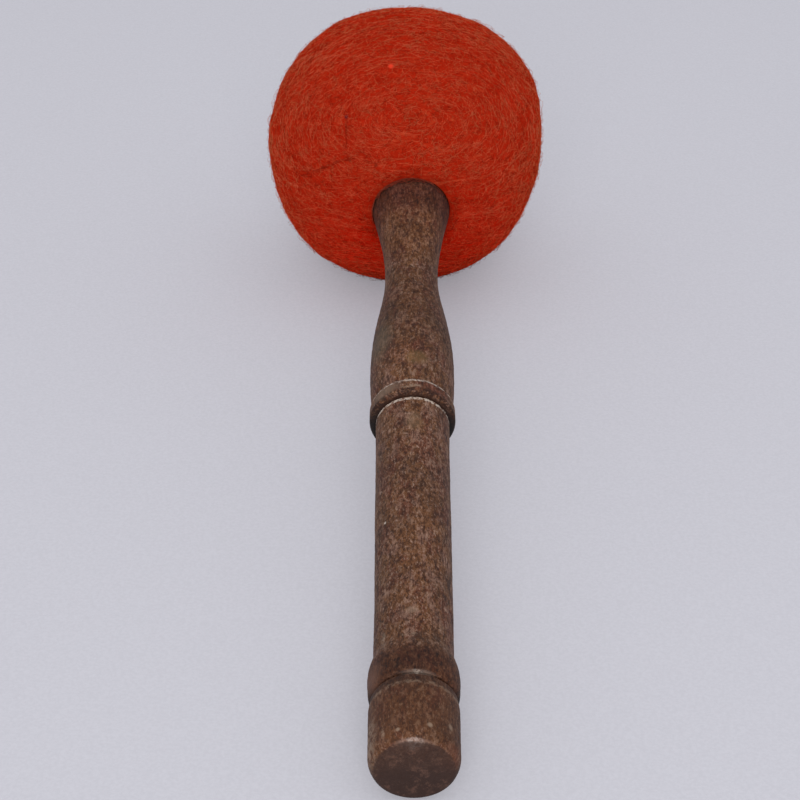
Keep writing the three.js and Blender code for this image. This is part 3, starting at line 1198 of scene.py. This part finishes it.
    def build_tie(self, finish: WoolFinish) -> None:
        """Makes the thread that ties the padding's sleeve, in turns side by side and then on top.

        Args:
            finish: Its thread.
        """
        thick = self.tie_thickness / 3
        lower_turns, all_turns, steps, sides = 3, 5, 32, 8
        climb, nest, squeeze = 0.1, 0.9, 0.35
        share = np.linspace(0, all_turns, all_turns * steps + 1)
        upper = eased(share, lower_turns - climb, lower_turns + climb)
        row = np.where(share < lower_turns, share, 2 * lower_turns - 0.5 - share) - lower_turns / 2
        radius = self.sleeve_radius + self.seat_gap + thick / 2 + upper * thick * nest
        station = self.sleeve_end + self.sleeve_length / 2 + row * thick * (1 - squeeze * upper)
        out = outward(share * FULL_TURN)
        line = out * radius[:, None] + station[:, None] * (0, 1, 0)
        side = unit(np.cross(np.gradient(line, axis=0), out))
        around = turns_of(sides)[:, None]
        rings = line[:, None] + thick / 2 * (np.cos(around) * out[:, None] + np.sin(around) * side[:, None])
        add_piece("sleeve_tie", Shape.of_rings(rings, line[0], line[-1]), self.lie,
                  finish.material(self.lie, self.way), ["padding_tie"])


class Lay(Enum):
    """Which way the strands of a bundle run."""

    WOUND = "along the winding"
    MATTED = "any way over the head"
    STRAY = "loose, standing off the head"
    RIM = "over the collar's rim"


@dataclass(frozen=True)
class Strands:
    """A bundle of wool strands on the head. Each is a closed tube that tapers to both ends.

    The strands of a seam lie along a line between two ways from the head's centre.
    """

    name: str
    lay: Lay
    count: int
    seed: int
    length: Pair
    radius: Pair
    lift: Pair
    wander: float = 0.0
    seam: Optional[tuple[Triple, Triple]] = None
    seam_spread: float = 0.006
    drift: Waves = Waves(71, 0.35, 1.6, 16)
    drift_turn: float = 0.22
    looped_share: float = 0.45
    collar_clearance: float = 0.6
    floor_clearance: float = 0.08
    rim_turn: float = math.radians(125)
    rim_spread: float = math.radians(30)
    knots: int = 6
    sides: int = 3
    cell_margin: float = 0.07

    def build(self, head: Head, material: bpy.types.Material) -> None:
        """Makes the bundle.

        Args:
            head: The head that it lies on.
            material: Its wool.
        """
        draw = np.random.default_rng(self.seed)
        if self.lay is Lay.RIM:
            lines, away = self._rim_lines(head, draw)
            thick = draw.uniform(*self.radius, self.count)
        else:
            spare = int(self.count * 1.25) + 40
            lines, away = self._lines(head, draw, spare)
            off_collar = np.hypot(lines[..., 0], lines[..., 2]) - head.handle.collar_radius
            clear = (off_collar > self.collar_clearance) | (lines[..., 1] >= head.centre[1])
            keep = np.flatnonzero(clear.all(axis=1))[: self.count]
            thick = draw.uniform(*self.radius, spare)[keep]
            lines, away = head.on_floor(lines[keep], self.floor_clearance), away[keep]
        add_piece(self.name, self._tubes(lines, away, thick), head.lie, material,
                  sharp_angle=math.pi)

    def _lines(self, head: Head, draw: np.random.Generator, count: int) -> tuple[np.ndarray, np.ndarray]:
        """Runs the strands' middle lines over the head.

        Args:
            head: The head.
            draw: The bundle's random draws.
            count: How many lines.

        Returns:
            The lines' places, and the way off the head at each.
        """
        wound = self.lay is Lay.WOUND
        bend_spread, curl_spread = (0.05, 0.10) if wound else (0.40, 0.45)
        towards = unit(draw.normal(size=(count, 3)))
        if self.seam:
            first, last = np.array(self.seam)
            towards = unit(first + draw.random((count, 1)) * (last - first) + towards * self.seam_spread)
        length = draw.uniform(*self.length, count)
        turn = draw.normal(0, self.wander, count)
        if not wound:
            turn = draw.uniform(0, FULL_TURN, count)
        bend = draw.normal(0, bend_spread, count)
        lift = draw.uniform(*self.lift, count)
        places, ups = [], []
        for knot in range(self.knots):
            places.append(head.skin(towards))
            ups.append(towards)
            heading = (unit(np.broadcast_to(last - first, towards.shape)) if self.seam
                       else head.way.heading(towards))
            side = np.cross(towards, heading)
            angle = (turn + self.drift(towards) * self.drift_turn + bend * knot
                     + draw.normal(0, curl_spread, count))[:, None]
            step = heading * np.cos(angle) + side * np.sin(angle)
            towards = unit(towards + step * (length / (self.knots - 1) / head.radius)[:, None])
        share = np.linspace(0, 1, self.knots)
        arch = np.sin(math.pi * share)
        rise = arch ** 0.6
        if self.lay is Lay.STRAY:
            looped = draw.random(count) < self.looped_share
            rise = np.where(looped[:, None], arch, share ** 1.6)
        away = np.stack(ups, axis=1)
        return np.stack(places, axis=1) + away * (lift[:, None] * rise)[..., None], away

    def _rim_lines(self, head: Head, draw: np.random.Generator) -> tuple[np.ndarray, np.ndarray]:
        """Runs lines from the wool over the collar's rim and back, most of them on its upper left.

        Args:
            head: The head.
            draw: The bundle's random draws.

        Returns:
            The lines' places, and the way off the collar at each.
        """
        root_depth, least_reach, reach_spread, skin_gap = 0.5, 0.2, 1.2, 0.1
        rim, collar = head.handle.collar_rim, head.handle.collar_radius
        share = np.linspace(0, 1, self.knots)
        arch = np.sin(math.pi * share)
        start = draw.normal(self.rim_turn, self.rim_spread, self.count)
        sweep = draw.uniform(*self.length, self.count) / collar * draw.choice((-1, 1), self.count)
        reach = np.abs(draw.normal(0, reach_spread, self.count)) + least_reach
        lean = draw.uniform(-0.5, 0.5, self.count)[:, None] * (share - 0.5)
        station = rim + root_depth - reach[:, None] * (arch + lean)
        lift = draw.uniform(*self.lift, self.count)
        radius = collar + skin_gap + lift[:, None] * arch ** 0.5
        away = outward(start[:, None] + sweep[:, None] * share)
        return away * radius[..., None] + station[..., None] * (0, 1, 0), away

    def _tubes(self, lines: np.ndarray, away: np.ndarray, thick: np.ndarray) -> Shape:
        """Makes thin tubes on the lines.

        Args:
            lines: Places, as strand, knot and axis.
            away: The way off the head at each.
            thick: The strands' radii at their middles.

        Returns:
            The shape.
        """
        count, sides, ring_count = len(lines), self.sides, self.knots - 2
        run = unit(np.gradient(lines, axis=1))
        side = unit(np.cross(run, away))
        up = np.cross(side, run)
        taper = np.sin(math.pi * np.linspace(0, 1, self.knots)[1:-1]) ** 0.6
        turns = turns_of(sides)[:, None]
        spread = np.cos(turns) * up[:, 1:-1, None] + np.sin(turns) * side[:, 1:-1, None]
        rings = lines[:, 1:-1, None] + spread * (thick[:, None] * taper)[:, :, None, None]
        points = np.concatenate((lines[:, :1], lines[:, -1:], rings.reshape(count, -1, 3)), axis=1)
        tris, quads, tri_uv, quad_uv = [], [], [], []
        last = 2 + (ring_count - 1) * sides
        for corner in range(sides):
            after = (corner + 1) % sides
            low, high = corner / sides, (corner + 1) / sides
            tris += [(0, 2 + after, 2 + corner), (1, last + corner, last + after)]
            tri_uv += [[(0, low), (1, high), (1, low)],
                       [(ring_count + 1, low), (ring_count, low), (ring_count, high)]]
            for ring in range(ring_count - 1):
                here, there = 2 + ring * sides, 2 + (ring + 1) * sides
                quads.append((here + corner, here + after, there + after, there + corner))
                quad_uv.append([(ring + 1, low), (ring + 1, high), (ring + 2, high), (ring + 2, low)])
        offsets = np.arange(count)[:, None, None] * points.shape[1]
        faces: list[tuple[int, ...]] = []
        parts = []
        cells = self._cells(count)[:, None, None]
        for corners, places in ((tris, tri_uv), (quads, quad_uv)):
            faces += map(tuple, (np.array(corners) + offsets).reshape(-1, len(corners[0])).tolist())
            inside = np.array(places, float) / (ring_count + 1, 1)
            inside = inside * (1 - 2 * self.cell_margin) + self.cell_margin
            parts.append((cells[..., :2] + inside * cells[..., 2:]).reshape(-1, 2))
        return Shape(points.reshape(-1, 3), faces, np.concatenate(parts))

    @staticmethod
    def _cells(count: int) -> np.ndarray:
        """Parts the map into one long cell for each strand.

        Args:
            count: How many strands.

        Returns:
            Each cell's corner and size.
        """
        columns = max(1, math.ceil(math.sqrt(count) / 2))
        size = np.array((1 / columns, 1 / math.ceil(count / columns)))
        index = np.arange(count)
        corner = np.stack((index % columns, index // columns), axis=-1) * size
        return np.concatenate((corner, np.broadcast_to(size, corner.shape)), axis=1)


@dataclass(frozen=True)
class Studio:
    """The camera, a pale floor and soft light.

    The end face lies some millimetres right of, below and before the camera. The rest is in metres.
    """

    lie: Lie
    picture_side: float = 800
    focal_pixels: float = 2200
    sensor_width: float = 36
    nearest: float = 0.01
    look_down: float = math.radians(30.8246)
    roll: float = math.radians(0.057)
    end_right: float = 3.28
    end_below: float = 81.62
    end_depth: float = 484
    floor_half: float = 12.0
    floor_weave: Specks = Specks(0.9, 3, 0.7)
    floor_colour: Colour = tint(215, 215, 222)
    floor_shade: Colour = tint(205, 205, 212)
    floor_glow: Colour = tint(194, 192, 200)
    glow_share: float = 0.4
    sky: float = 0.65
    sky_colour: Colour = (0.94, 0.95, 1.0)
    spread: float = math.radians(110)
    lamps: tuple[tuple[str, float, float, Triple], ...] = (
        ("overhead_lamp", 1.6, 1.3, (0.03, -0.4, 1.2)),
        ("camera_lamp", 1.0, 7.6, (-0.06, -1.7, 0.82)))

    def build_camera(self) -> None:
        """Places the camera where the photograph was taken, from how it shows the end face."""
        sine, cosine = math.sin(self.look_down), math.cos(self.look_down)
        forward, down = np.array((0, cosine, -sine)), np.array((0, -sine, -cosine))
        camera = bpy.data.cameras.new("camera")
        camera.sensor_width = self.sensor_width
        camera.lens = self.sensor_width * self.focal_pixels / self.picture_side
        camera.clip_start = self.nearest
        holder = bpy.data.objects.new("camera", camera)
        offset = RIGHT * self.end_right + down * self.end_below + forward * self.end_depth
        holder.location = self.lie.end - offset * MM
        turn = Quaternion((1, 0, 0), math.pi / 2 - self.look_down) @ Quaternion((0, 0, 1), self.roll)
        holder.rotation_euler = turn.to_euler()
        bpy.context.scene.collection.objects.link(holder)
        bpy.context.scene.camera = holder

    def build_floor(self) -> None:
        """Makes the floor, which isn't part of the mallet, and whose shadows look soft and pale."""
        corners = np.array([(-1, -1, 0), (1, -1, 0), (1, 1, 0), (-1, 1, 0)]) * self.floor_half
        mesh = bpy.data.meshes.new("floor")
        mesh.from_pydata(corners.tolist(), [], [(0, 1, 2, 3)])
        bench = Bench("pale_floor", self.lie)
        colour = Layer(self.floor_weave, self.floor_shade, 0.3, 0.7, 1.0).over(
            bench, bench.place(), self.floor_colour)
        camera, gloss, glass = (bench.node("ShaderNodeLightPath", output=f"Is {kind} Ray")
                                for kind in ("Camera", "Glossy", "Transmission"))
        seen = bench.step(camera + gloss + glass, 0, 1) * self.glow_share
        black = (0.0, 0.0, 0.0)
        mesh.materials.append(bench.close(
            Base_Color=bench.mix(seen, colour, black), Roughness=0.9, Specular_IOR_Level=0.1,
            Emission_Color=bench.mix(seen, black, self.floor_glow), Emission_Strength=1.0))
        floor = bpy.data.objects.new("floor", mesh)
        bpy.context.scene.collection.objects.link(floor)

    def build_light(self) -> None:
        """Lights the scene from a pale sky, a wide lamp overhead and a smaller one at the camera."""
        world = bpy.data.worlds.new("pale_room")
        world.use_nodes = True
        shade = world.node_tree.nodes["Background"]
        shade.inputs["Color"].default_value = (*self.sky_colour, 1)
        shade.inputs["Strength"].default_value = self.sky
        bpy.context.scene.world = world
        for name, size, energy, place in self.lamps:
            lamp = bpy.data.lights.new(name, "AREA")
            lamp.size = size
            lamp.energy = energy
            lamp.spread = self.spread
            holder = bpy.data.objects.new(name, lamp)
            holder.location = place
            holder.rotation_euler = (-Vector(place)).to_track_quat("-Z", "Y").to_euler()
            bpy.context.scene.collection.objects.link(holder)

    def build(self) -> None:
        """Makes the whole studio."""
        self.build_camera()
        self.build_floor()
        self.build_light()
        bpy.context.scene.view_settings.view_transform = "Standard"


def handle_wood(handle: Handle) -> WoodFinish:
    """The handle's wood, with its wear and dirt, painted shade in its grooves and under its beads, and
    painted highlights on its end and its knob's groove.

    Args:
        handle: The handle that it is for.

    Returns:
        The finish.
    """
    ground, dark, light = tint(100, 62, 33), tint(44, 20, 7), tint(146, 117, 100)
    red, grey = tint(88, 43, 25), tint(112, 79, 64)
    black, white, rubbed = tint(14, 9, 7), tint(196, 180, 166), tint(150, 128, 108)
    broken, stain_and_shade = Film.BROKEN, Film.STAIN
    rim, knob, bead, grip_end = handle.collar_rim, handle.knob_length, handle.bead_start, handle.grip_end
    bead_top = bead + handle.bead_length
    marks = (
        Mark.band(rim - 1, 17, 0.9, (0.52, 0.28, 0.22), stain_and_shade),
        Mark.band(rim - 22, 16, 0.8, (0.98, 0.80, 0.60), stain_and_shade),
        # Painted shade along the collar's top, where the wool meets it.
        Mark.band(rim + 0.5, 2.5, 0.8, (0.35, 0.28, 0.26), stain_and_shade),
        Mark.band(handle.swell_start + 32, 28, 0.8, (0.69, 0.63, 0.56), stain_and_shade),
        Mark((-9, 70, 3), (5, 60, 8), 0.6, (0.86, 0.92, 0.90), stain_and_shade),
        Mark((-1, 139, 11), (8, 8, 9), 0.5, (1.04, 0.84, 0.80), stain_and_shade),
        Mark((-5, 161, 8), (6, 8, 7), 0.5, (0.80, 0.82, 0.82), stain_and_shade),
        Mark((-8, 149, 6), (5, 12, 8), 0.45, tint(86, 78, 62)),
        Mark((1.2, 137, 11), (4.5, 4, 4), 0.28, tint(132, 108, 64)),
        Mark((0.4, 112, 9.5), (3, 5, 4), 0.3, tint(132, 106, 76)),
        Mark((-0.8, 33.5, 9.4), (3, 1.2, 3), 0.5, rubbed, broken),
        Mark((-0.5, 41.5, 9.4), (2, 1.6, 3), 0.3, rubbed),
        Mark((-0.6, 28, 9.6), (1.2, 0.8, 2), 0.5, tint(160, 118, 106)),
        Mark((-7, 34, 6.3), (1, 4, 3), 0.4, rubbed, broken),
        Mark((-6.9, 75.4, 6.4), (0.35, 0.6, 1), 0.9, white),
        Mark.band(knob / 2, 14, 0.25, tint(102, 64, 46)),
        Mark.band(knob / 2, 14, 1.0, (0.65, 0.57, 0.45), stain_and_shade),
        Mark.band(knob + 4.5, 8, 1.0, (0.45, 0.32, 0.22), stain_and_shade),
        Mark((-10, knob + 4, 3), (5, 6, 8), 0.5, grey),
        # Partly dirt, partly painted shade: the knob's bevel before its groove.
        Mark.band(knob - 1.2, 1.6, 0.8, (0.6, 0.55, 0.5), stain_and_shade),
        # Partly dirt, partly painted shade: the groove under the bead and the bead's lower face.
        Mark.band(bead - 0.15, 0.45, 0.9, dark),
        Mark.band(bead + 0.6, 1.1, 1.0, dark, broken),
        # Painted shade, with some dirt: near-black on the lower sides of the bead's lower face, below the
        # axis.
        Mark((0, bead, -3), (30, 2.4, 11), 1.0, black),
        # Painted shade: near-black in the lower sides of the knob's groove and the end bead's rise, below
        # the axis.
        Mark((0, knob + 1, -3), (30, 3.6, 9), 1.0, black),
        # End-grain tone over the lower half of the rounded end, partly painted shade, as the upper half is
        # left light.
        Mark((0, -0.5, -5), (20, 5.5, 11), 1.0, tint(46, 32, 27)),
        Mark((5, bead_top - 2.5, 9), (7, 3.5, 7), 0.9, (0.9, 0.6, 0.6), stain_and_shade),
        Mark((-7, bead_top - 2.5, 8), (6, 3, 8), 0.7, tint(112, 92, 76)),
        Mark.band(bead_top - 0.4, 1.2, 1.0, white, broken),
        Mark((0, bead_top - 3.4, 11), (5, 0.8, 3), 0.6, rubbed, broken),
        Mark.band(grip_end - 0.3, 0.7, 0.9, white, broken),
        # Painted highlight on top of the knob's groove.
        Mark((1.2, knob + 0.8, 10), (6, 1, 5), 0.15, white),
        Mark((0.8, knob + 0.8, 10), (1.5, 0.8, 5), 0.4, white, broken),
        Mark.band(knob - 2.4, 0.8, 0.3, rubbed, broken),
        # Partly wear, partly painted highlight: the upper ridge of the handle's end.
        Mark((-0.4, 0.4, 9), (6, 0.7, 4), 0.4, tint(140, 112, 100)),
        Mark((-0.2, 0.3, 9.5), (3, 0.9, 4), 0.6, tint(176, 156, 146), broken),
        Mark((3.4, 4.5, 9.9), (0.9, 1, 1), 0.6, rubbed),
        Mark((-3.7, 3.2, 9.8), (0.7, 0.7, 1), 0.6, rubbed),
        Mark((8, 6.8, 6.7), (0.8, 1.2, 1), 0.5, rubbed),
        Mark((-7, 3.9, 7.8), (0.8, 2, 1), 0.5, rubbed, broken),
        # Painted highlight: a faint warm patch on the right of the rounded end.
        Mark((8, 1.2, 4), (4, 2.5, 5), 0.2, tint(124, 72, 50)),
        Mark((-9.5, 6, 2), (3, 8, 6), 0.6, rubbed, broken))
    return WoodFinish("handle_wood", ground, dark, light, red, grey, marks=marks)


def dress_core(lie: Lie) -> None:
    """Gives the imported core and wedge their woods.

    Args:
        lie: How the mallet lies.
    """
    core = WoodFinish("core_wood", tint(168, 133, 92), tint(120, 86, 52), tint(196, 166, 124),
                      tint(170, 120, 84), tint(160, 138, 110))
    wedge = WoodFinish("wedge_wood", tint(176, 138, 90), tint(128, 92, 56), tint(204, 172, 128),
                       tint(180, 128, 88), tint(170, 146, 112))
    for node, finish in (("head_core", core), ("tenon_wedge", wedge)):
        mesh = frame["nodes"][node].data
        mesh.materials.clear()
        mesh.materials.append(finish.material(lie))
        log.info("%s dressed in %s", node, finish.name)


def dress_head(head: Head) -> None:
    """Makes the layers of the head and the strands on it.

    Args:
        head: The head.
    """
    head.build_padding(WoolFinish("padding_felt", tint(207, 196, 174), tint(226, 218, 200),
                                  tint(176, 162, 138)))
    head.build_tie(WoolFinish("tie_thread", tint(224, 216, 200), tint(240, 234, 220),
                              tint(196, 184, 160)))
    head.build_winding(WoolFinish("plain_wool", tint(217, 205, 182), tint(234, 226, 208),
                                  tint(186, 170, 142)))
    ground, pale, deep = tint(168, 34, 13), tint(196, 84, 50), tint(142, 20, 6)
    rim = head.handle.collar_rim
    # The first mark is painted shade: the wool darkens steeply towards the collar's rim, where it meets the
    # handle.
    marks = (Mark((0, rim, 0), (17, 17, 17), 1.0, (0.12, 0.15, 0.15), Film.STAIN),
             Mark((0, rim + 8, -22), (56, 50, 40), 1.0, (1.06, 0.58, 0.52), Film.STAIN),
             head.speck((-0.105, -0.448, 0.888), 1.1, 1.0, tint(240, 74, 48)),
             head.speck((-0.414, -0.669, 0.617), 0.8, 0.8, tint(84, 24, 44)),
             head.speck((-0.401, -0.842, 0.361), 0.7, 0.5, tint(92, 20, 10)),
             head.speck((-0.215, -0.906, 0.364), 0.8, 0.6, tint(92, 24, 12)))
    # Painted shade: the fuzz darkens towards the head's underside.
    shade = Mark((0, head.centre[1], -38), (60, 60, 30), 1.0, (0.10, 0.14, 0.2), Film.STAIN)
    head.build_cover(WoolFinish("dyed_wool", ground, pale, deep, marks=marks))
    calm = {"pale_share": 0.25, "deep_share": 0.25, "streak_height": 0.0, "mat_height": 0.0,
            "marks": marks}
    tones = {
        "mid": WoolFinish("mid_strand_wool", tint(189, 34, 12), pale, deep, **calm),
        "pale": WoolFinish("pale_strand_wool", tint(206, 86, 56), tint(216, 118, 88), ground, **calm),
        "deep": WoolFinish("deep_strand_wool", tint(139, 18, 5), ground, tint(95, 8, 2), **calm),
        "dark": WoolFinish("dark_strand_wool", tint(112, 18, 10), deep, tint(70, 10, 8), **calm),
        "dusty": WoolFinish("dusty_strand_wool", tint(112, 44, 32), tint(142, 74, 58), tint(72, 28, 22)),
        "fuzzy": WoolFinish("fuzzy_strand_wool", tint(188, 96, 60), tint(204, 126, 92), ground,
                            **{**calm, "marks": (*marks, shade)})}
    matted, wound, stray = Lay.MATTED, Lay.WOUND, Lay.STRAY
    bundles = (
        Strands("mid_strands", matted, 8000, 101, (2, 5), (0.07, 0.12), (0, 0.2)),
        Strands("pale_strands", matted, 6000, 102, (1.5, 4), (0.05, 0.10), (0.05, 0.22)),
        Strands("deep_strands", matted, 7000, 103, (1.5, 4), (0.05, 0.10), (0.05, 0.2)),
        Strands("pale_wound_strands", wound, 3600, 104, (4, 12), (0.04, 0.07), (0.05, 0.22), 0.3),
        Strands("mid_wound_strands", wound, 7000, 105, (4, 12), (0.06, 0.10), (0.05, 0.22), 0.4),
        Strands("fuzzy_stray_strands", stray, 6000, 106, (2.5, 6), (0.025, 0.05), (0.25, 1.3)),
        Strands("fuzzy_short_strands", stray, 7500, 110, (1, 2.5), (0.02, 0.04), (0.2, 0.7)),
        # Dark strands along a crease in the wool, standing in for the shade in the crease.
        Strands("dark_crease_strands", wound, 34, 108, (3, 6), (0.03, 0.06), (0.15, 0.28), 0.1,
                ((-0.768, -0.633, 0.093), (-0.411, -0.828, 0.381))),
        Strands("dark_arc_strands", wound, 9, 109, (3, 6), (0.03, 0.05), (0.2, 0.3), 0.05,
                ((-0.425, -0.808, 0.409), (-0.418, -0.691, 0.590))),
        Strands("dusty_rim_strands", Lay.RIM, 150, 107, (2, 6), (0.05, 0.11), (0.05, 0.3)))
    for bundle in bundles:
        tone = tones[bundle.name.split("_")[0]]
        bundle.build(head, tone.material(head.lie, head.way))


def main() -> None:
    """Builds the studio and dresses the mallet, piece by piece."""
    logging.basicConfig(level=logging.INFO, format="%(message)s")
    lie = Lie.of_record(frame["record"])
    Studio(lie).build()
    handle = Handle(lie)
    head = Head(lie, handle)
    handle.build(head.shoulder, head.tenon_end, handle_wood(handle))
    dress_core(lie)
    dress_head(head)


if __name__ == "__main__":
    main()
